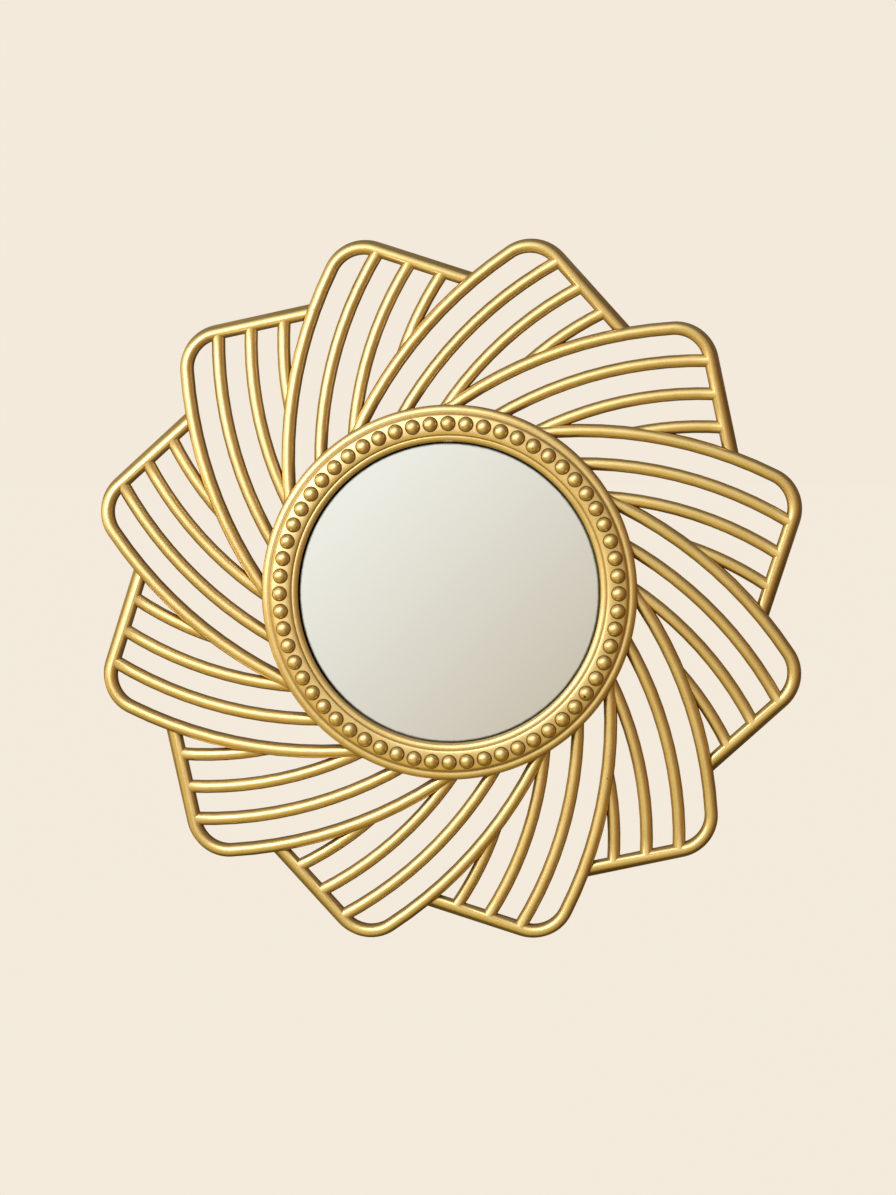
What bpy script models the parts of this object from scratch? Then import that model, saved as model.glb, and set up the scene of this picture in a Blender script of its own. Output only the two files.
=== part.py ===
"""A round wall mirror in a cast frame of twelve overlapping openwork petals.

The mirror is modelled lying on its back: X to the right, Y up the wall and Z out of the wall.
An empty turned about X then stands it up, so that its back lies in the plane y = 0 and its
front looks along -Y. All sizes are in metres.
"""
import math

import bmesh
import bpy
from mathutils import Matrix, Vector

# Petals, seen from the front: their rails are arcs about one centre each. A lead rail's arc,
# if it were drawn on under the round moulding, would pass the mirror's centre at LEAD_INNER_RADIUS.
PETALS = 12
LEAD_RADIUS = 0.14917
LEAD_INNER_RADIUS = 0.0453
ARC_CENTRE_ANGLE = math.radians(-4.19)
BAR_PITCH = 0.01127
BARS = 3
END_DIRECTION = math.radians(-48.0)
END_OFFSET = 0.03236
CORNER_RADIUS = 0.01226

# Section of a rail: half round in front, straight sides, flat back
RAIL_WIDTH = 0.00415
LEAD_FOOT = 0.0002
END_FOOT = 0.0008
LEAD_CREST = 0.0094
RAIL_BACK = 0.0044

# Every petal leans: its rails get lower from the lead rail to the last bar
CREST_SLOPE = 0.0435
BACK_SLOPE = 0.007
BAR_STEP = 0.0001
BAR_TUCK = 0.0004

# Round moulding, a low dome: its parts follow each other outwards from the sight edge round the
# glass. Each has its width and how far it rises or falls; the sight edge's height is from the wall.
SIGHT_RADIUS = 0.05215
SIGHT_HEIGHT = 0.01075
SLOPE_WIDTH = 0.00205
SLOPE_RISE = 0.00115
STEP_WIDTH = 0.0007
STEP_RISE = 0.00045
SHOULDER_WIDTH = 0.0017
SHOULDER_RISE = 0.0003
BAND_WIDTH = 0.0049
BAND_FALL = 0.0005
GROOVE_WIDTH = 0.0007
GROOVE_FALL = 0.0004
RIM_FLAT_WIDTH = 0.0009
RIM_WIDTH = 0.0024
RIM_FALL = 0.0019
RAIL_ROOT = 0.0026

BEADS = 60
BEAD_CIRCLE_INSET = 0.0062
BEAD_DIAMETER = 0.0048
BEAD_RISE = 0.0021
BEAD_SUNK = 0.0008
BEAD_SIDES = 8

# Glass and its seat
GLASS_THICKNESS = 0.0020
GLASS_EDGE_GAP = 0.0005
GLASS_BED_GAP = 0.0003
GLASS_SET_BACK = 0.0012
GLASS_ARRIS = 0.0003
GLASS_SIDES = 72

# Keyhole for a screw head, in the upper half of the back
KEYHOLE_HEIGHT = 0.0380
KEYHOLE_SLOT = 0.0090
KEYHOLE_MOUTH_RADIUS = 0.0045
KEYHOLE_SLOT_RADIUS = 0.0022
KEYHOLE_POCKET_GAP = 0.0003
KEYHOLE_SKIN = 0.0020
KEYHOLE_DEPTH = 0.0055
KEYHOLE_SIDES = 12

# How finely round shapes are divided
RAIL_FACETS = 4
RING_SIDES = 60
ARC_STEP = math.radians(6.6)
CORNER_STEPS = 5
CUT_OVERRUN = 0.001
MERGE = 0.00001


def polar(radius, angle):
    return Vector((radius * math.cos(angle), radius * math.sin(angle)))


ARC_CENTRE_RADIUS = LEAD_RADIUS - LEAD_INNER_RADIUS
ARC_CENTRE = polar(ARC_CENTRE_RADIUS, ARC_CENTRE_ANGLE)
NEXT_ARC_CENTRE = polar(ARC_CENTRE_RADIUS, ARC_CENTRE_ANGLE - math.tau / PETALS)
END_NORMAL_ANGLE = END_DIRECTION + math.pi / 2
END_NORMAL = polar(1, END_NORMAL_ANGLE)
END_ALONG = polar(1, END_DIRECTION)
HALF_WIDTH = RAIL_WIDTH / 2
STEP_FOOT_RADIUS = SIGHT_RADIUS + SLOPE_WIDTH
SHOULDER_RADIUS = STEP_FOOT_RADIUS + STEP_WIDTH
CREST_RADIUS = SHOULDER_RADIUS + SHOULDER_WIDTH
CREST_HEIGHT = SIGHT_HEIGHT + SLOPE_RISE + STEP_RISE + SHOULDER_RISE
GROOVE_RADIUS = CREST_RADIUS + BAND_WIDTH
RIM_RADIUS = GROOVE_RADIUS + GROOVE_WIDTH
RIM_HEIGHT = CREST_HEIGHT - BAND_FALL - GROOVE_FALL
RING_RADIUS = RIM_RADIUS + RIM_WIDTH
ROOT_RADIUS = RING_RADIUS - RAIL_ROOT
BEAD_CIRCLE_RADIUS = RING_RADIUS - BEAD_CIRCLE_INSET


def clear_scene():
    for item in list(bpy.data.objects):
        bpy.data.objects.remove(item, do_unlink=True)


def new_collection(name):
    collection = bpy.data.collections.new(name)
    bpy.context.scene.collection.children.link(collection)
    return collection


def new_object(name, mesh_builder, collection):
    """An object whose mesh is the given bmesh, which is freed."""
    mesh = bpy.data.meshes.new(name)
    mesh_builder.to_mesh(mesh)
    mesh_builder.free()
    item = bpy.data.objects.new(name, mesh)
    collection.objects.link(item)
    return item


def plain_material(name, colour, roughness, metallic):
    material = bpy.data.materials.new(name)
    material.use_nodes = True
    shader = material.node_tree.nodes["Principled BSDF"]
    shader.inputs["Base Color"].default_value = (*colour, 1)
    shader.inputs["Roughness"].default_value = roughness
    shader.inputs["Metallic"].default_value = metallic
    return material


def meeting_angle(radius, point, reach):
    """Where the arc of a rail, followed away from its petal's corner, comes within reach of a point."""
    towards = point - ARC_CENTRE
    distance = towards.length
    cosine = (radius ** 2 + distance ** 2 - reach ** 2) / (2 * radius * distance)
    return math.atan2(towards.y, towards.x) % math.tau - math.acos(cosine)


def root_angle(radius):
    """A rail ends in the round moulding or under the next petal's lead rail, whichever comes first."""
    at_ring = meeting_angle(radius, Vector((0, 0)), ROOT_RADIUS)
    at_next_lead = meeting_angle(radius, NEXT_ARC_CENTRE, LEAD_RADIUS)
    return min(at_ring, at_next_lead)


def rail_section(place, outward, foot, step=0.0):
    """One cross-section of a rail, from the foot of its outer side over the crest to its inner side."""
    lean = LEAD_RADIUS - (place - ARC_CENTRE).length
    crest = LEAD_CREST - step - CREST_SLOPE * lean
    back = RAIL_BACK + step + BACK_SLOPE * lean
    shoulder = crest - HALF_WIDTH
    outline = [(HALF_WIDTH + foot, back)]
    for facet in range(RAIL_FACETS + 1):
        turn = math.pi * facet / RAIL_FACETS
        outline.append((HALF_WIDTH * math.cos(turn), shoulder + HALF_WIDTH * math.sin(turn)))
    outline.append((-HALF_WIDTH, back))
    points = []
    for offset, height in outline:
        flat = place + outward * offset
        points.append(Vector((flat.x, flat.y, height)))
    return points


def loft(sections):
    """A closed solid through sections of equally many points."""
    builder = bmesh.new()
    rings = [[builder.verts.new(point) for point in section] for section in sections]
    count = len(rings[0])
    for near, far in zip(rings, rings[1:]):
        for index in range(count):
            after = (index + 1) % count
            builder.faces.new((near[index], near[after], far[after], far[index]))
    builder.faces.new(reversed(rings[0]))
    builder.faces.new(rings[-1])
    bmesh.ops.recalc_face_normals(builder, faces=builder.faces)
    return builder


def arc_angles(start, end):
    steps = max(1, math.ceil(abs(end - start) / ARC_STEP))
    return [start + (end - start) * index / steps for index in range(steps + 1)]


def lead_and_end_rail():
    """The petal's outer edge: lead rail, rounded corner and straight end rail in one run."""
    reach = LEAD_RADIUS - CORNER_RADIUS
    inset = END_OFFSET - CORNER_RADIUS
    corner = ARC_CENTRE + END_NORMAL * inset - END_ALONG * math.sqrt(reach ** 2 - inset ** 2)
    towards = corner - ARC_CENTRE
    corner_start = math.atan2(towards.y, towards.x)
    sections = []
    for angle in arc_angles(root_angle(LEAD_RADIUS), corner_start):
        sections.append(rail_section(ARC_CENTRE + polar(LEAD_RADIUS, angle), polar(1, angle), LEAD_FOOT))
    for index in range(1, CORNER_STEPS + 1):
        share = index / CORNER_STEPS
        angle = corner_start + (END_NORMAL_ANGLE - corner_start) * share
        foot = LEAD_FOOT + (END_FOOT - LEAD_FOOT) * share
        sections.append(rail_section(corner + polar(CORNER_RADIUS, angle), polar(1, angle), foot))
    start = corner + END_NORMAL * CORNER_RADIUS
    sections.append(rail_section(end_rail_stop(start), END_NORMAL, END_FOOT))
    return loft(sections)


def end_rail_stop(start):
    """Where the end rail's centre line meets that of the next petal's lead rail."""
    offset = start - NEXT_ARC_CENTRE
    along = offset.dot(END_ALONG)
    return start + END_ALONG * (-along - math.sqrt(along ** 2 - offset.length_squared + LEAD_RADIUS ** 2))


def inner_bar(radius):
    """A bar inside the petal, from its root to just short of the end rail's crest."""
    stop = END_NORMAL_ANGLE + math.acos(END_OFFSET / radius) + BAR_TUCK / radius
    sections = []
    for angle in arc_angles(root_angle(radius), stop):
        place = ARC_CENTRE + polar(radius, angle)
        sections.append(rail_section(place, polar(1, angle), 0.0, BAR_STEP))
    return loft(sections)


def band_height(radius):
    """Height of the gently domed band that carries the beads."""
    share = (radius - CREST_RADIUS) / BAND_WIDTH
    return CREST_HEIGHT - BAND_FALL * share ** 2


def ring_profile():
    """Radius and height of the round moulding, from the middle of the glass's seat to the back."""
    seat = SIGHT_HEIGHT - GLASS_SET_BACK - GLASS_THICKNESS - GLASS_BED_GAP
    round_width = RIM_WIDTH - RIM_FLAT_WIDTH
    diagonal = math.cos(math.pi / 4)
    return [
        (0.0, seat),
        (SIGHT_RADIUS, seat),
        (SIGHT_RADIUS, SIGHT_HEIGHT),
        (STEP_FOOT_RADIUS, SIGHT_HEIGHT + SLOPE_RISE),
        (SHOULDER_RADIUS, CREST_HEIGHT - SHOULDER_RISE),
        (CREST_RADIUS, CREST_HEIGHT),
        (GROOVE_RADIUS, band_height(GROOVE_RADIUS)),
        (RIM_RADIUS, RIM_HEIGHT),
        (RIM_RADIUS + RIM_FLAT_WIDTH, RIM_HEIGHT),
        (RING_RADIUS - round_width * (1 - diagonal), RIM_HEIGHT - RIM_FALL * (1 - diagonal)),
        (RING_RADIUS, RIM_HEIGHT - RIM_FALL),
        (RING_RADIUS, 0.0),
        (0.0, 0.0),
    ]


def turned(name, profile, sides, collection):
    """A solid of revolution about Z, by a Screw modifier on its half profile."""
    builder = bmesh.new()
    points = [builder.verts.new((radius, 0, height)) for radius, height in profile]
    for near, far in zip(points, points[1:]):
        builder.edges.new((near, far))
    item = new_object(name, builder, collection)
    screw = item.modifiers.new("Turn", "SCREW")
    screw.axis = "Z"
    screw.steps = sides
    screw.render_steps = sides
    screw.use_merge_vertices = True
    screw.merge_threshold = MERGE
    return item


def bead():
    """A low round bead on the moulding's band, its foot sunk a little into it."""
    radius = BEAD_DIAMETER / 2
    shoulder_radius = radius * math.cos(math.pi / 4)
    shoulder_height = BEAD_RISE * math.sin(math.pi / 4)
    flare = (radius - shoulder_radius) / shoulder_height
    builder = bmesh.new()
    bmesh.ops.create_cone(builder, cap_ends=True, segments=BEAD_SIDES,
                          radius1=radius + flare * BEAD_SUNK, radius2=shoulder_radius,
                          depth=BEAD_SUNK + shoulder_height,
                          matrix=Matrix.Translation((0, 0, (shoulder_height - BEAD_SUNK) / 2)))
    top = max(builder.faces, key=lambda face: face.calc_center_median().z)
    crown = bmesh.ops.poke(builder, faces=[top])["verts"][0]
    crown.co.z = BEAD_RISE
    return builder


def slot_prism(radius, length, low, high):
    """An upright prism of a slot's outline: a round drawn out up the wall, its flats at the radius."""
    builder = bmesh.new()
    half_side = math.pi / KEYHOLE_SIDES
    place = Matrix.Translation((0, KEYHOLE_HEIGHT, low)) @ Matrix.Rotation(half_side, 4, "Z")
    bmesh.ops.create_circle(builder, cap_ends=True, segments=KEYHOLE_SIDES,
                            radius=radius / math.cos(half_side), matrix=place)
    for vert in builder.verts:
        if vert.co.y > KEYHOLE_HEIGHT:
            vert.co.y += length
    grown = bmesh.ops.extrude_face_region(builder, geom=list(builder.faces))["geom"]
    lifted = [part for part in grown if isinstance(part, bmesh.types.BMVert)]
    bmesh.ops.translate(builder, verts=lifted, vec=(0, 0, high - low))
    bmesh.ops.recalc_face_normals(builder, faces=builder.faces)
    return builder


def as_cutter(item):
    item.hide_render = True
    item.display_type = "WIRE"
    return item


def join_all(item, collection):
    """Make one closed body of an object and every object of a collection."""
    boolean = item.modifiers.new("Join", "BOOLEAN")
    boolean.operation = "UNION"
    boolean.operand_type = "COLLECTION"
    boolean.collection = collection
    boolean.solver = "EXACT"
    boolean.use_self = True


def cut(item, cutter):
    boolean = item.modifiers.new("Cut " + cutter.name, "BOOLEAN")
    boolean.operation = "DIFFERENCE"
    boolean.object = cutter
    boolean.solver = "EXACT"


def make_rails(collection):
    """All rails of all petals, each petal turned one step clockwise from the one before."""
    for petal in range(PETALS):
        rails = [("edge", lead_and_end_rail())]
        for bar in range(1, BARS + 1):
            rails.append((f"bar_{bar}", inner_bar(LEAD_RADIUS - bar * BAR_PITCH)))
        for name, builder in rails:
            rail = as_cutter(new_object(f"petal_{petal + 1}_{name}", builder, collection))
            rail.rotation_euler.z = -petal * math.tau / PETALS


def make_beads(collection):
    for index in range(BEADS):
        item = as_cutter(new_object(f"bead_{index + 1}", bead(), collection))
        angle = math.pi / 2 - index * math.tau / BEADS
        place = polar(BEAD_CIRCLE_RADIUS, angle)
        item.location = (place.x, place.y, band_height(BEAD_CIRCLE_RADIUS))
        item.rotation_euler.z = angle + math.pi / BEAD_SIDES


def make_keyhole(collection):
    """The pocket for the screw's head, then the mouth and the slot that open it through the back."""
    inside = KEYHOLE_SKIN + CUT_OVERRUN
    pocket_radius = KEYHOLE_MOUTH_RADIUS + KEYHOLE_POCKET_GAP
    shapes = (
        ("keyhole_pocket", slot_prism(pocket_radius, KEYHOLE_SLOT, KEYHOLE_SKIN, KEYHOLE_DEPTH)),
        ("keyhole_mouth", slot_prism(KEYHOLE_MOUTH_RADIUS, 0.0, -CUT_OVERRUN, inside)),
        ("keyhole_slot", slot_prism(KEYHOLE_SLOT_RADIUS, KEYHOLE_SLOT, -CUT_OVERRUN, inside)),
    )
    return [as_cutter(new_object(name, builder, collection)) for name, builder in shapes]


def make_frame(parts, joined, cutters, stand):
    """The whole casting; its turned moulding is set half a side round, so a bead stands on each flat."""
    make_rails(joined)
    make_beads(joined)
    frame = turned("frame", ring_profile(), RING_SIDES, parts)
    frame.rotation_euler.z = math.pi / RING_SIDES
    frame.parent = stand
    join_all(frame, joined)
    for cutter in make_keyhole(cutters):
        cut(frame, cutter)
    frame.data.materials.append(plain_material("antique_gold", (0.62, 0.42, 0.15), 0.38, 0.85))
    return frame


def make_glass(parts, stand):
    front = SIGHT_HEIGHT - GLASS_SET_BACK
    back = front - GLASS_THICKNESS
    radius = SIGHT_RADIUS - GLASS_EDGE_GAP
    profile = [
        (0.0, front),
        (radius - GLASS_ARRIS, front),
        (radius, front - GLASS_ARRIS),
        (radius, back),
        (0.0, back),
    ]
    glass = turned("mirror_glass", profile, GLASS_SIDES, parts)
    glass.parent = stand
    glass.data.materials.append(plain_material("silvered_glass", (0.86, 0.87, 0.86), 0.03, 1.0))
    return glass


def main():
    clear_scene()
    parts = new_collection("wall_mirror")
    joined = new_collection("joined_shapes")
    cutters = new_collection("cutters")
    stand = bpy.data.objects.new("stand", None)
    stand.rotation_euler.x = math.pi / 2
    bpy.context.scene.collection.objects.link(stand)
    make_frame(parts, joined, cutters, stand)
    for item in list(joined.objects) + list(cutters.objects):
        item.parent = stand
    make_glass(parts, stand)


main()
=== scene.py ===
"""The round wall mirror in its cast gold frame, dressed for a look at its finish.

The frame's rails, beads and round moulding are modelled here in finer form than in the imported
solids, at the same places. Five sizes differ from theirs on purpose: the rails' width, the beads'
diameter, and the width, fall and flat of the moulding's rim. These are a little fuller here.

Shapes are made lying on their back, with Z towards the front, and each finished piece is then stood
up: its back lies in the plane y = 0, its front looks along -Y.
"""
import math

import bmesh
import bpy
from mathutils import Matrix, Vector


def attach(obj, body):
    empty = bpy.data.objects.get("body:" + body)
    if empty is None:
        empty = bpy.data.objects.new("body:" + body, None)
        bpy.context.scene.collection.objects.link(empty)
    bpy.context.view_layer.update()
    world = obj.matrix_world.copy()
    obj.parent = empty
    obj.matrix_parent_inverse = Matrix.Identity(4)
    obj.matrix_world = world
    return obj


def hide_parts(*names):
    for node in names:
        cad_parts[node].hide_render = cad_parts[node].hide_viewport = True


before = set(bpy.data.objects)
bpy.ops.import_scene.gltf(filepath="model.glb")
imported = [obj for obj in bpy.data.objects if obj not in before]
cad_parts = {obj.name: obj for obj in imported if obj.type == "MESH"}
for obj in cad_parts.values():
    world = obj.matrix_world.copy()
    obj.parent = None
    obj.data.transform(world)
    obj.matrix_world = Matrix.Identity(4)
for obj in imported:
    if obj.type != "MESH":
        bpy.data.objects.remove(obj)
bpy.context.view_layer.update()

# Petals, seen from the front: their rails are arcs about one centre each
PETALS = 12
LEAD_RADIUS = 0.14917
LEAD_INNER_RADIUS = 0.0453
ARC_CENTRE_ANGLE = math.radians(-4.19)
BAR_PITCH = 0.01127
BARS = 3
END_DIRECTION = math.radians(-48.0)
END_OFFSET = 0.03236
CORNER_RADIUS = 0.01226

# Section of a rail: half round in front, straight sides, flat back
RAIL_WIDTH = 0.0044
LEAD_FOOT = 0.0002
END_FOOT = 0.0008
LEAD_CREST = 0.0094
RAIL_BACK = 0.0044
CREST_SLOPE = 0.0435
BACK_SLOPE = 0.007
BAR_STEP = 0.0001
BAR_TUCK = 0.0004

# Round moulding, a low dome: its parts follow each other outwards from the sight edge round the glass
SIGHT_RADIUS = 0.05215
SIGHT_HEIGHT = 0.01075
SLOPE_WIDTH = 0.00205
SLOPE_RISE = 0.00115
STEP_WIDTH = 0.0007
STEP_RISE = 0.00045
SHOULDER_WIDTH = 0.0017
SHOULDER_RISE = 0.0003
BAND_WIDTH = 0.0049
BAND_FALL = 0.0005
GROOVE_WIDTH = 0.0007
GROOVE_FALL = 0.0004
RIM_FLAT_WIDTH = 0.0006
RIM_WIDTH = 0.0026
RIM_FALL = 0.0017
RAIL_ROOT = 0.0026
FINE_QUIRK_ROUND = 0.00022
QUIRK_ROUND = 0.0003

# Beads and the glass
BEADS = 60
BEAD_CIRCLE_INSET = 0.0064
BEAD_DIAMETER = 0.0050
BEAD_RISE = 0.0021
GLASS_THICKNESS = 0.0020
GLASS_EDGE_GAP = 0.0005
GLASS_BED_GAP = 0.0003
GLASS_SET_BACK = 0.0012
GLASS_ARRIS = 0.0003

# Keyhole in the back
KEYHOLE_HEIGHT = 0.0380
KEYHOLE_SLOT = 0.0090
KEYHOLE_MOUTH_RADIUS = 0.0045
KEYHOLE_SLOT_RADIUS = 0.0022
KEYHOLE_POCKET_GAP = 0.0003
KEYHOLE_SKIN = 0.0020
KEYHOLE_DEPTH = 0.0055

# How finely round shapes are divided
RAIL_FACETS = 14
ARC_STEP = math.radians(3.0)
CORNER_STEPS = 14
RING_SIDES = 240
GLASS_SIDES = 240
BEAD_SEGMENTS = 32
BEAD_RINGS = 18
KEYHOLE_SIDES = 32
CREASE = math.radians(32)

# Small faults of the gold coat: places on the front by x and z, each with a radius
DARK_NICKS = (
    (0.0646, 0.0852, 0.0005),
    (0.0652, 0.0858, 0.0005),
    (0.0658, 0.0864, 0.0004),
    (0.0468, -0.0353, 0.0006),
    (0.0933, 0.0767, 0.0004),
    (-0.0463, 0.0974, 0.0003),
    (0.0546, -0.0644, 0.0003),
    (-0.0110, -0.0606, 0.0003),
    (0.0290, 0.0497, 0.0003),
    (-0.0559, 0.0179, 0.0003),
)
PALE_CHIPS = (
    (-0.0014, 0.05225, 0.00035),
    (-0.0005, 0.05235, 0.00050),
    (0.0004, 0.05225, 0.00045),
    (0.0012, 0.05235, 0.00035),
)

# Light: the pale backdrop, then soft washes and boxes
BACKDROP = (0.896, 0.823, 0.716)
WASH_SHARPNESS = 5.0
# Azimuth and elevation of each wash in degrees, and its colour
WASHES = (
    (-12, 38, (1.22, 1.25, 1.12)),
    (-15, -35, (0.66, 0.54, 0.17)),
    (-90, 0, (1.02, 0.85, 0.36)),
    (60, 0, (0.30, 0.15, 0.04)),
    (180, 10, (0.80, 0.74, 0.64)),
)
BOX_SIZE = 0.22
BOX_COLOUR = (0.99, 0.94, 1.10)
# Azimuth and elevation of each box in degrees, its distance in metres and its power in watts
SOFT_BOXES = (
    ("key", -35, 15, 0.42, 0.52),
    ("upper", -15, 30, 0.42, 0.27),
    ("side", -60, 15, 0.30, 0.10),
)
# Pale card that the glass shows: azimuth and elevation, and how far it reaches and fades, in degrees
CARD_HEADING = (-3, -4.5)
CARD_REACH = 8
CARD_FADE = 14

# Floor and camera
FLOOR_RADIUS = 9.0
FLOOR_HEIGHT = -0.30
CAMERA_PLACE = (0.04706, -0.92108, 0.07175)
CAMERA_TURNS = (85.41, 0.211, 2.96)
CAMERA_LENS = 80
CAMERA_SENSOR = 36

STOOD_UP = Matrix.Rotation(math.pi / 2, 4, "X")


def polar(radius, angle):
    return Vector((radius * math.cos(angle), radius * math.sin(angle)))


ARC_CENTRE_RADIUS = LEAD_RADIUS - LEAD_INNER_RADIUS
ARC_CENTRE = polar(ARC_CENTRE_RADIUS, ARC_CENTRE_ANGLE)
NEXT_ARC_CENTRE = polar(ARC_CENTRE_RADIUS, ARC_CENTRE_ANGLE - math.tau / PETALS)
END_NORMAL_ANGLE = END_DIRECTION + math.pi / 2
END_NORMAL = polar(1, END_NORMAL_ANGLE)
END_ALONG = polar(1, END_DIRECTION)
HALF_WIDTH = RAIL_WIDTH / 2
STEP_FOOT_RADIUS = SIGHT_RADIUS + SLOPE_WIDTH
SHOULDER_RADIUS = STEP_FOOT_RADIUS + STEP_WIDTH
CREST_RADIUS = SHOULDER_RADIUS + SHOULDER_WIDTH
CREST_HEIGHT = SIGHT_HEIGHT + SLOPE_RISE + STEP_RISE + SHOULDER_RISE
GROOVE_RADIUS = CREST_RADIUS + BAND_WIDTH
RIM_RADIUS = GROOVE_RADIUS + GROOVE_WIDTH
RIM_HEIGHT = CREST_HEIGHT - BAND_FALL - GROOVE_FALL
RING_RADIUS = RIM_RADIUS + RIM_WIDTH
BEAD_CIRCLE_RADIUS = RING_RADIUS - BEAD_CIRCLE_INSET


# Shapes


def new_object(name, builder):
    """An object in the scene whose mesh is the given bmesh, which is freed."""
    mesh = bpy.data.meshes.new(name)
    builder.to_mesh(mesh)
    builder.free()
    item = bpy.data.objects.new(name, mesh)
    bpy.context.scene.collection.objects.link(item)
    return item


def meeting_angle(radius, point, reach):
    """Where the arc of a rail, followed away from its petal's corner, comes within reach of a point."""
    towards = point - ARC_CENTRE
    distance = towards.length
    cosine = (radius ** 2 + distance ** 2 - reach ** 2) / (2 * radius * distance)
    return math.atan2(towards.y, towards.x) % math.tau - math.acos(cosine)


def root_angle(radius):
    """A rail ends in the round moulding or under the next petal's lead rail, whichever comes first."""
    at_ring = meeting_angle(radius, Vector((0, 0)), RING_RADIUS - RAIL_ROOT)
    at_next_lead = meeting_angle(radius, NEXT_ARC_CENTRE, LEAD_RADIUS)
    return min(at_ring, at_next_lead)


def rail_section(place, outward, foot, step=0.0):
    """One cross-section of a rail, from the foot of its outer side over the crest to its inner side."""
    lean = LEAD_RADIUS - (place - ARC_CENTRE).length
    crest = LEAD_CREST - step - CREST_SLOPE * lean
    back = RAIL_BACK + step + BACK_SLOPE * lean
    shoulder = crest - HALF_WIDTH
    outline = [(HALF_WIDTH + foot, back)]
    for facet in range(RAIL_FACETS + 1):
        turn = math.pi * facet / RAIL_FACETS
        outline.append((HALF_WIDTH * math.cos(turn), shoulder + HALF_WIDTH * math.sin(turn)))
    outline.append((-HALF_WIDTH, back))
    points = []
    for offset, height in outline:
        flat = place + outward * offset
        points.append((flat.x, flat.y, height))
    return points


def drawn_through(stations):
    """A solid drawn out of its first cross-section through others of equally many points."""
    builder = bmesh.new()
    order = builder.verts.layers.int.new("order")
    outline = [builder.verts.new(point) for point in stations[0]]
    for index, vert in enumerate(outline):
        vert[order] = index
    end = [builder.edges.new(pair) for pair in zip(outline, outline[1:] + outline[:1])]
    for station in stations[1:]:
        drawn = bmesh.ops.extrude_edge_only(builder, edges=end)["geom"]
        end = [part for part in drawn if isinstance(part, bmesh.types.BMEdge) and part.is_boundary]
        for part in drawn:
            if isinstance(part, bmesh.types.BMVert):
                part.co = station[part[order]]
    bmesh.ops.holes_fill(builder, edges=builder.edges)
    bmesh.ops.recalc_face_normals(builder, faces=builder.faces)
    return builder


def arc_angles(start, end):
    steps = max(1, math.ceil(abs(end - start) / ARC_STEP))
    return [start + (end - start) * index / steps for index in range(steps + 1)]


def end_rail_stop(start):
    """Where the end rail's centre line meets that of the next petal's lead rail."""
    offset = start - NEXT_ARC_CENTRE
    along = offset.dot(END_ALONG)
    return start + END_ALONG * (-along - math.sqrt(along ** 2 - offset.length_squared + LEAD_RADIUS ** 2))


def lead_and_end_rail():
    """The petal's outer edge: lead rail, rounded corner and straight end rail in one run."""
    reach = LEAD_RADIUS - CORNER_RADIUS
    inset = END_OFFSET - CORNER_RADIUS
    corner = ARC_CENTRE + END_NORMAL * inset - END_ALONG * math.sqrt(reach ** 2 - inset ** 2)
    towards = corner - ARC_CENTRE
    corner_start = math.atan2(towards.y, towards.x)
    stations = []
    for angle in arc_angles(root_angle(LEAD_RADIUS), corner_start):
        stations.append(rail_section(ARC_CENTRE + polar(LEAD_RADIUS, angle), polar(1, angle), LEAD_FOOT))
    for index in range(1, CORNER_STEPS + 1):
        share = index / CORNER_STEPS
        angle = corner_start + (END_NORMAL_ANGLE - corner_start) * share
        foot = LEAD_FOOT + (END_FOOT - LEAD_FOOT) * share
        stations.append(rail_section(corner + polar(CORNER_RADIUS, angle), polar(1, angle), foot))
    start = corner + END_NORMAL * CORNER_RADIUS
    stations.append(rail_section(end_rail_stop(start), END_NORMAL, END_FOOT))
    return drawn_through(stations)


def inner_bar(radius):
    """A bar inside the petal, from its root to just short of the end rail's crest."""
    stop = END_NORMAL_ANGLE + math.acos(END_OFFSET / radius) + BAR_TUCK / radius
    stations = []
    for angle in arc_angles(root_angle(radius), stop):
        place = ARC_CENTRE + polar(radius, angle)
        stations.append(rail_section(place, polar(1, angle), 0.0, BAR_STEP))
    return drawn_through(stations)


def rounding(radius, height, across, rise, start, end, steps):
    """Points of a quarter or part of an oval in the moulding's profile, between two angles in degrees."""
    points = []
    for index in range(steps + 1):
        turn = math.radians(start + (end - start) * index / steps)
        points.append((radius + across * math.cos(turn), height + rise * math.sin(turn)))
    return points


def band_height(radius):
    """Height of the gently domed band that carries the beads."""
    share = (radius - CREST_RADIUS) / BAND_WIDTH
    return CREST_HEIGHT - BAND_FALL * share ** 2


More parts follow.
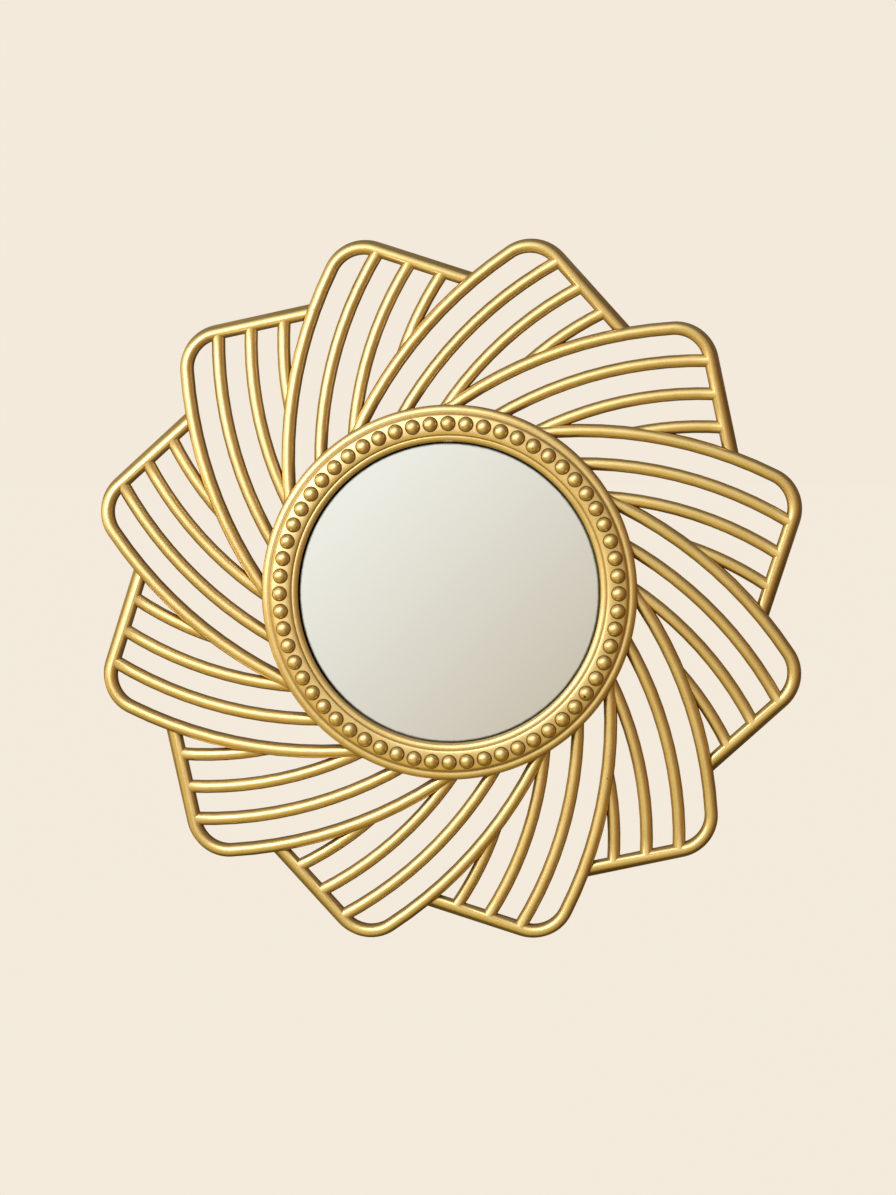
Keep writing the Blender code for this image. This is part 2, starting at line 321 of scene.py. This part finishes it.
def moulding_profile():
    """Radius and height of the round moulding, from the glass's seat over the beads' band to the rim."""
    seat = SIGHT_HEIGHT - GLASS_SET_BACK - GLASS_THICKNESS - GLASS_BED_GAP
    step_foot = SIGHT_HEIGHT + SLOPE_RISE
    shoulder = CREST_HEIGHT - SHOULDER_RISE
    points = [(0.0, seat), (SIGHT_RADIUS, seat), (SIGHT_RADIUS, SIGHT_HEIGHT - 0.0002)]
    # sight edge and the round slope that climbs from it to a quirk
    points += rounding(STEP_FOOT_RADIUS - 0.0002, SIGHT_HEIGHT, SLOPE_WIDTH - 0.0003, SLOPE_RISE, 176, 90, 12)
    points += rounding(STEP_FOOT_RADIUS, step_foot + 0.00016, FINE_QUIRK_ROUND, FINE_QUIRK_ROUND, 265, 320, 4)
    # step up to the shoulder, which flattens towards the crest of the band
    points += rounding(CREST_RADIUS, shoulder - STEP_RISE * 0.3, SHOULDER_WIDTH + STEP_WIDTH * 0.45,
                       SHOULDER_RISE + STEP_RISE * 0.3, 168, 90, 14)
    for index in range(1, 9):
        radius = CREST_RADIUS + (BAND_WIDTH - 0.0003) * index / 8
        points.append((radius, band_height(radius)))
    # quirk and step down to the rim
    points += rounding(GROOVE_RADIUS - QUIRK_ROUND, band_height(GROOVE_RADIUS) - QUIRK_ROUND,
                       QUIRK_ROUND, QUIRK_ROUND, 75, 20, 4)
    points += rounding(RIM_RADIUS - 0.0001, RIM_HEIGHT + 0.00012, QUIRK_ROUND, QUIRK_ROUND, 210, 275, 4)
    # rim: flat, then a full round down to its side
    rim_start = RIM_RADIUS + RIM_FLAT_WIDTH
    points += rounding(rim_start, RIM_HEIGHT - RIM_FALL, RING_RADIUS - rim_start, RIM_FALL, 88, 0, 16)
    points += [(RING_RADIUS, 0.0004), (RING_RADIUS - 0.0004, 0.0), (0.0, 0.0)]
    return points


def turned(name, profile, sides):
    """A solid of revolution about Z."""
    builder = bmesh.new()
    verts = [builder.verts.new((radius, 0, height)) for radius, height in profile]
    edges = [builder.edges.new(pair) for pair in zip(verts, verts[1:])]
    bmesh.ops.spin(builder, geom=verts + edges, cent=(0, 0, 0), axis=(0, 0, 1), dvec=(0, 0, 0),
                   angle=math.tau, steps=sides, use_merge=True, use_duplicate=False)
    bmesh.ops.remove_doubles(builder, verts=builder.verts, dist=0.000002)
    bmesh.ops.recalc_face_normals(builder, faces=builder.faces)
    return new_object(name, builder)


def bead(angle):
    """A round bead on the moulding's band; its lower half is inside the moulding."""
    builder = bmesh.new()
    bmesh.ops.create_uvsphere(builder, u_segments=BEAD_SEGMENTS, v_segments=BEAD_RINGS,
                              radius=BEAD_DIAMETER / 2)
    bmesh.ops.scale(builder, verts=builder.verts, vec=(1, 1, BEAD_RISE / (BEAD_DIAMETER / 2)))
    bmesh.ops.rotate(builder, verts=builder.verts, matrix=Matrix.Rotation(angle + 0.07, 3, "Z"))
    place = polar(BEAD_CIRCLE_RADIUS, angle)
    bmesh.ops.translate(builder, verts=builder.verts, vec=(place.x, place.y, band_height(BEAD_CIRCLE_RADIUS)))
    return builder


def slot_prism(radius, length, low, high):
    """A prism of a slot's outline: a round drawn out upwards."""
    builder = bmesh.new()
    half_side = math.pi / KEYHOLE_SIDES
    place = Matrix.Translation((0, KEYHOLE_HEIGHT, low)) @ Matrix.Rotation(half_side, 4, "Z")
    bmesh.ops.create_circle(builder, cap_ends=True, segments=KEYHOLE_SIDES,
                            radius=radius / math.cos(half_side), matrix=place)
    upper = [vert for vert in builder.verts if vert.co.y > KEYHOLE_HEIGHT]
    bmesh.ops.translate(builder, verts=upper, vec=(0, length, 0))
    grown = bmesh.ops.extrude_face_region(builder, geom=list(builder.faces))["geom"]
    lifted = [part for part in grown if isinstance(part, bmesh.types.BMVert)]
    bmesh.ops.translate(builder, verts=lifted, vec=(0, 0, high - low))
    bmesh.ops.recalc_face_normals(builder, faces=builder.faces)
    return builder


def boolean(item, operation, others):
    """Join or cut an object with others, which are used up."""
    helpers = bpy.data.collections.new("helpers")
    bpy.context.scene.collection.children.link(helpers)
    for other in others:
        bpy.context.scene.collection.objects.unlink(other)
        helpers.objects.link(other)
    modifier = item.modifiers.new("Shape", "BOOLEAN")
    modifier.operation = operation
    modifier.operand_type = "COLLECTION"
    modifier.collection = helpers
    modifier.solver = "EXACT"
    modifier.use_self = operation == "UNION"
    shaped = bpy.data.meshes.new_from_object(item.evaluated_get(bpy.context.evaluated_depsgraph_get()))
    item.modifiers.clear()
    item.data = shaped
    for other in others:
        bpy.data.objects.remove(other, do_unlink=True)
    bpy.data.collections.remove(helpers)


def finished(item, material, node):
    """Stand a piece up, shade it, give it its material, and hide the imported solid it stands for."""
    item.data.transform(STOOD_UP)
    item.data.shade_smooth()
    item.data.set_sharp_from_angle(angle=CREASE)
    item.data.materials.clear()
    item.data.materials.append(material)
    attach(item, "root")
    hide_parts(node)
    return item


def frame_casting(material):
    """The whole casting: round moulding with its keyhole, twelve petals of rails, and the beads."""
    casting = turned("frame_casting", moulding_profile(), RING_SIDES)
    skin = KEYHOLE_SKIN + 0.001
    pocket_radius = KEYHOLE_MOUTH_RADIUS + KEYHOLE_POCKET_GAP
    for name, radius, length, low, high in (
            ("pocket", pocket_radius, KEYHOLE_SLOT, KEYHOLE_SKIN, KEYHOLE_DEPTH),
            ("mouth", KEYHOLE_MOUTH_RADIUS, 0.0, -0.001, skin),
            ("slot", KEYHOLE_SLOT_RADIUS, KEYHOLE_SLOT, -0.001, skin)):
        boolean(casting, "DIFFERENCE", [new_object(name, slot_prism(radius, length, low, high))])
    added = []
    for petal in range(PETALS):
        turn = Matrix.Rotation(-petal * math.tau / PETALS, 4, "Z")
        rails = [lead_and_end_rail()]
        for bar in range(1, BARS + 1):
            rails.append(inner_bar(LEAD_RADIUS - bar * BAR_PITCH))
        for builder in rails:
            bmesh.ops.transform(builder, matrix=turn, verts=builder.verts)
            added.append(new_object("rail", builder))
    for index in range(BEADS):
        added.append(new_object("bead", bead(math.pi / 2 - index * math.tau / BEADS)))
    boolean(casting, "UNION", added)
    return finished(casting, material, "frame")


def mirror_disc(material):
    """The glass: a plain disc with a fine arris round both faces."""
    front = SIGHT_HEIGHT - GLASS_SET_BACK
    back = front - GLASS_THICKNESS
    radius = SIGHT_RADIUS - GLASS_EDGE_GAP
    profile = [(0.0, front), (radius - GLASS_ARRIS, front), (radius, front - GLASS_ARRIS),
               (radius, back + GLASS_ARRIS / 2), (radius - GLASS_ARRIS / 2, back), (0.0, back)]
    disc = turned("mirror_disc", profile, GLASS_SIDES)
    return finished(disc, material, "mirror_glass")


# Finishes


class Wire:
    """One socket of a shader. Sums written on wires add the Math nodes that work them out."""

    def __init__(self, tree, socket=None):
        self.tree = tree
        self.socket = socket

    def node(self, kind, settings=None, sockets=None, output=0):
        """Add a node: its settings first, then the values or wires of its sockets."""
        added = self.tree.nodes.new(kind)
        for name, value in (settings or {}).items():
            setattr(added, name, value)
        for name, value in (sockets or {}).items():
            if isinstance(value, Wire):
                self.tree.links.new(value.socket, added.inputs[name])
            else:
                added.inputs[name].default_value = value
        return Wire(self.tree, added.outputs[output])

    def math(self, operation, *values):
        return self.node("ShaderNodeMath", {"operation": operation}, dict(enumerate(values)))

    def __add__(self, other):
        return self.math("ADD", self, other)

    __radd__ = __add__

    def __sub__(self, other):
        return self.math("SUBTRACT", self, other)

    def __rsub__(self, other):
        return self.math("SUBTRACT", other, self)

    def __mul__(self, other):
        return self.math("MULTIPLY", self, other)

    __rmul__ = __mul__

    def __abs__(self):
        return self.math("ABSOLUTE", self)

    def step(self, low, high):
        """0 below low and 1 above high, smooth between them; turned round if low is the larger."""
        if low > high:
            return 1 - self.step(high, low)
        return self.node("ShaderNodeMapRange", {"interpolation_type": "SMOOTHSTEP"},
                         {"Value": self, "From Min": low, "From Max": high})

    def blend(self, first, second, way="MIX"):
        """From the first colour where this is 0 to the second, or to both added up, where it is 1."""
        colours = [(*colour, 1) if isinstance(colour, tuple) else colour for colour in (first, second)]
        return self.node("ShaderNodeMix", {"data_type": "RGBA", "blend_type": way},
                         {0: self, 6: colours[0], 7: colours[1]}, 2)

    def noise(self, size, detail=2.0, roughness=0.5):
        """Noise of a grain size in metres, read at this place."""
        return self.node("ShaderNodeTexNoise", None, {"Vector": self, "Scale": 1 / size,
                                                      "Detail": detail, "Roughness": roughness})


def largest(first, second):
    return first.math("MAXIMUM", first, second)


def length(first, second):
    """How far away a place is whose two offsets are given."""
    return first.math("SQRT", first * first + second * second)


def new_material(name):
    """An empty material, its Principled shader node, and a wire to start from."""
    material = bpy.data.materials.new(name)
    material.use_nodes = True
    shader = material.node_tree.nodes["Principled BSDF"]
    return material, shader, Wire(material.node_tree)


def feed(shader, sockets):
    for name, value in sockets.items():
        if isinstance(value, Wire):
            value.tree.links.new(value.socket, shader.inputs[name])
        else:
            shader.inputs[name].default_value = value


def coordinates(wire):
    """The place on the piece, and its x, y and z."""
    place = wire.node("ShaderNodeTexCoord", output="Object")
    axes = [wire.node("ShaderNodeSeparateXYZ", None, {0: place}, axis) for axis in "XYZ"]
    return place, axes


def facing(wire):
    """Which way the surface looks along Y: -1 is straight to the front, 1 straight to the back."""
    normal = wire.node("ShaderNodeTexCoord", output="Normal")
    return wire.node("ShaderNodeSeparateXYZ", None, {0: normal}, "Y")


def spot(axes, ragged, x, z, radius):
    """A ragged little patch on the front, round a point given by x and z."""
    distance = length(axes[0] - x, axes[2] - z)
    return (distance + (ragged - 0.5) * radius).step(radius, radius * 0.6)


def spots(axes, ragged, places):
    """1 in any of the patches whose x, z and radius are given."""
    patches = spot(axes, ragged, *places[0])
    for place in places[1:]:
        patches = largest(patches, spot(axes, ragged, *place))
    return patches


def bead_crease_shade(axes, radius):
    """1 in the fine crease round each bead, where a dark line of painted shade goes."""
    turn = axes[0].math("ARCTAN2", axes[2], axes[0]) * (BEADS / math.tau)
    along = (turn - turn.math("ROUND", turn)) * (math.tau / BEADS * BEAD_CIRCLE_RADIUS)
    across = radius - BEAD_CIRCLE_RADIUS
    distance = length(along, across) - BEAD_DIAMETER / 2
    return distance.step(-0.00040, -0.00008) * distance.step(0.00024, 0.00006)


def quirk_shade_lines(radius):
    """1 along the two fine quirks of the round moulding, where a thin dark line of painted shade goes."""
    inner = abs(radius - (STEP_FOOT_RADIUS + 0.0001)).step(0.00022, 0.00008)
    outer = abs(radius - (RIM_RADIUS - 0.0001)).step(0.00024, 0.00008)
    return largest(inner, outer)


def antique_gold():
    """Satin gold paint with a fine grain, with painted shade in hollows, on flanks, round the beads and along
    the quirks, and a painted shadow in the recess round the glass; thin and dull on the back.
    """
    material, shader, wire = new_material("antique_gold")
    place, axes = coordinates(wire)
    out = facing(wire)

    cloud = place.noise(0.011, 3.0)
    grain = place.noise(0.00055, 2.0, 0.6)
    speck = place.noise(0.0011, 1.0)
    peel = place.noise(0.0024, 2.0)
    hollow = 1 - wire.node("ShaderNodeAmbientOcclusion", {"samples": 8, "only_local": True},
                           {"Distance": 0.0009}, "AO")
    flank = (1 - abs(out)).step(0.36, 0.92)
    back = out.step(0.4, 0.8)
    front = 1 - back
    radius = length(axes[0], axes[2])

    gold = cloud.step(0.3, 0.7).blend((0.810, 0.572, 0.205), (0.885, 0.645, 0.258))
    gold = grain.step(0.35, 0.75).blend(gold, (0.915, 0.705, 0.310))
    gold = (speck.step(0.62, 0.75) * 0.35).blend(gold, (0.650, 0.440, 0.150))
    # painted shade: dark brown laid into hollows (ambient occlusion), onto the flanks, round the beads and
    # along the quirks, where shade falls
    shade = largest(hollow.step(0.15, 0.55) * 0.95, flank * 0.9)
    shade = largest(shade, (bead_crease_shade(axes, radius) * 0.95 + quirk_shade_lines(radius) * 0.6) * front)
    gold = (shade * 0.97).blend(gold, (0.120, 0.056, 0.008))

    # inside of the recess: a painted shadow, near black, turning to painted light at the lower right, where
    # light from the upper left gets in
    inside = radius.step(SIGHT_RADIUS + 0.00004, SIGHT_RADIUS) * front
    lit = ((axes[0] - axes[2]) * (1 / SIGHT_RADIUS)).step(-0.4, 0.8)
    gold = inside.blend(gold, lit.blend((0.010, 0.008, 0.005), (0.500, 0.400, 0.220)))

    # the back: a thin coat over the brown body
    thin = (place.noise(0.009, 5.0, 0.7) + 0.35 * (grain - 0.5)).step(0.34, 0.66)
    bare = thin.blend((0.130, 0.085, 0.045), (0.310, 0.210, 0.085))
    colour = back.blend(gold, bare)

    # small faults of the coat
    ragged = place.noise(0.0007, 2.0)
    dark = spots(axes, ragged, DARK_NICKS) * front
    pale = spots(axes, ragged, PALE_CHIPS) * front
    colour = (dark * 0.9).blend(colour, (0.030, 0.018, 0.008))
    colour = pale.blend(colour, (0.750, 0.640, 0.520))

    rough = 0.35 + 0.10 * (grain - 0.5) + 0.06 * (cloud - 0.5) + 0.20 * shade + 0.16 * back
    height = grain * 0.6 + peel * 0.4 + speck * 0.4 - dark * 2.0
    bump = wire.node("ShaderNodeBump", None, {"Strength": 0.20, "Distance": 0.00004, "Height": height})
    feed(shader, {
        "Specular Tint": (0.55, 0.36, 0.12, 1),
        "Specular IOR Level": 0.0,
        "Coat Weight": (0.75 - 0.75 * shade) * front * (1 - inside),
        "Coat Roughness": 0.22,
        "Coat IOR": 1.6,
        "Base Color": colour,
        "Metallic": (0.95 - 0.75 * shade - 0.35 * back) * (1 - pale) * (1 - inside),
        "Roughness": rough,
        "Normal": bump,
    })
    return material


def silvered_glass():
    """A clean mirror, its silver darker and flecked towards the very edge; ground edge, grey paint behind."""
    material, shader, wire = new_material("silvered_glass")
    place, axes = coordinates(wire)
    out = facing(wire)
    radius = length(axes[0], axes[2])
    face = out.step(-0.90, -0.97)
    back = out.step(0.5, 0.9)
    haze = place.noise(0.02, 3.0)
    mottle = place.noise(0.003, 3.0)
    fleck = place.noise(0.0009, 2.0).step(0.66, 0.74)
    edge = (radius + (place.noise(0.0015, 2.0) - 0.5) * 0.0006).step(0.0508, 0.0516)
    silver = edge.blend((0.900, 0.900, 0.880), (0.420, 0.415, 0.390))
    silver = (fleck * edge * 0.7).blend(silver, (0.080, 0.070, 0.060))
    ground = mottle.step(0.35, 0.65).blend((0.250, 0.320, 0.290), (0.160, 0.210, 0.190))
    paint = mottle.step(0.35, 0.65).blend((0.225, 0.230, 0.235), (0.260, 0.265, 0.270))
    colour = face.blend(back.blend(ground, paint), silver)
    feed(shader, {
        "Base Color": colour,
        "Metallic": face,
        "Roughness": 0.012 + 0.010 * haze + 0.15 * edge + 0.25 * (1 - face) + 0.3 * back,
    })
    return material


# Floor, light and camera


def pale_floor():
    """A wide plain floor below the mirror."""
    builder = bmesh.new()
    bmesh.ops.create_circle(builder, cap_ends=True, segments=64, radius=FLOOR_RADIUS,
                            matrix=Matrix.Translation((0, 0, FLOOR_HEIGHT)))
    floor = new_object("floor", builder)
    material, shader, _ = new_material("floor")
    feed(shader, {"Base Color": (0.05, 0.05, 0.05, 1), "Roughness": 1.0, "Specular IOR Level": 0.0,
                  "Emission Color": (*BACKDROP, 1), "Emission Strength": 0.98})
    floor.data.materials.append(material)
    floor.visible_glossy = False
    floor.visible_diffuse = False


def heading(azimuth, elevation):
    """The direction in which a light stands: 0, 0 is straight in front, a minus azimuth is to the left."""
    across, up = math.radians(azimuth), math.radians(elevation)
    return Vector((math.sin(across) * math.cos(up), -math.cos(across) * math.cos(up), math.sin(up)))


def nearness(towards, azimuth, elevation):
    """1 where one looks towards a heading, and less and less away from it."""
    return towards.node("ShaderNodeVectorMath", {"operation": "DOT_PRODUCT"},
                        {0: towards, 1: heading(azimuth, elevation)}, "Value")


def soft_box(name, towards, distance, power):
    """A square soft box that looks at the mirror; it lights, but isn't seen itself."""
    data = bpy.data.lights.new(name, "AREA")
    data.size = BOX_SIZE
    data.energy = power
    data.color = BOX_COLOUR
    box = bpy.data.objects.new(name, data)
    box.location = towards * distance
    box.rotation_euler = towards.to_track_quat("Z", "Y").to_euler()
    box.visible_camera = False
    bpy.context.scene.collection.objects.link(box)


def studio():
    """Soft washes of light round a dim warm room, and a pale card behind the camera for the glass to show."""
    world = bpy.data.worlds.new("studio")
    world.use_nodes = True
    bpy.context.scene.world = world
    wire = Wire(world.node_tree)
    towards = wire.node("ShaderNodeTexCoord", output="Generated")
    room = (0.020, 0.010, 0.003)
    for azimuth, elevation, colour in WASHES:
        wash = wire.math("EXPONENT", WASH_SHARPNESS * (nearness(towards, azimuth, elevation) - 1))
        room = wash.blend(room, colour, "ADD")
    x, z = [wire.node("ShaderNodeSeparateXYZ", None, {0: towards}, axis) for axis in "XZ"]
    card = (z - x).step(-0.20, 0.15).blend((0.580, 0.517, 0.407), (1.037, 1.050, 0.993))
    card_ends = [math.cos(math.radians(turn)) for turn in (CARD_FADE, CARD_REACH)]
    room = nearness(towards, *CARD_HEADING).step(*card_ends).blend(room, card)
    seen = wire.node("ShaderNodeLightPath", output="Is Camera Ray")
    colour = seen.blend(room, BACKDROP)
    background = world.node_tree.nodes["Background"]
    world.node_tree.links.new(colour.socket, background.inputs["Color"])
    for name, azimuth, elevation, distance, power in SOFT_BOXES:
        soft_box(name, heading(azimuth, elevation), distance, power)


def photo_camera():
    """A camera at the photo's viewing angle, a little to the right and a little above."""
    data = bpy.data.cameras.new("camera")
    data.lens = CAMERA_LENS
    data.sensor_width = CAMERA_SENSOR
    camera = bpy.data.objects.new("camera", data)
    camera.location = CAMERA_PLACE
    camera.rotation_euler = [math.radians(turn) for turn in CAMERA_TURNS]
    bpy.context.scene.collection.objects.link(camera)
    bpy.context.scene.camera = camera


def main():
    frame_casting(antique_gold())
    mirror_disc(silvered_glass())
    pale_floor()
    studio()
    photo_camera()
    bpy.context.scene.view_settings.view_transform = "Standard"


main()
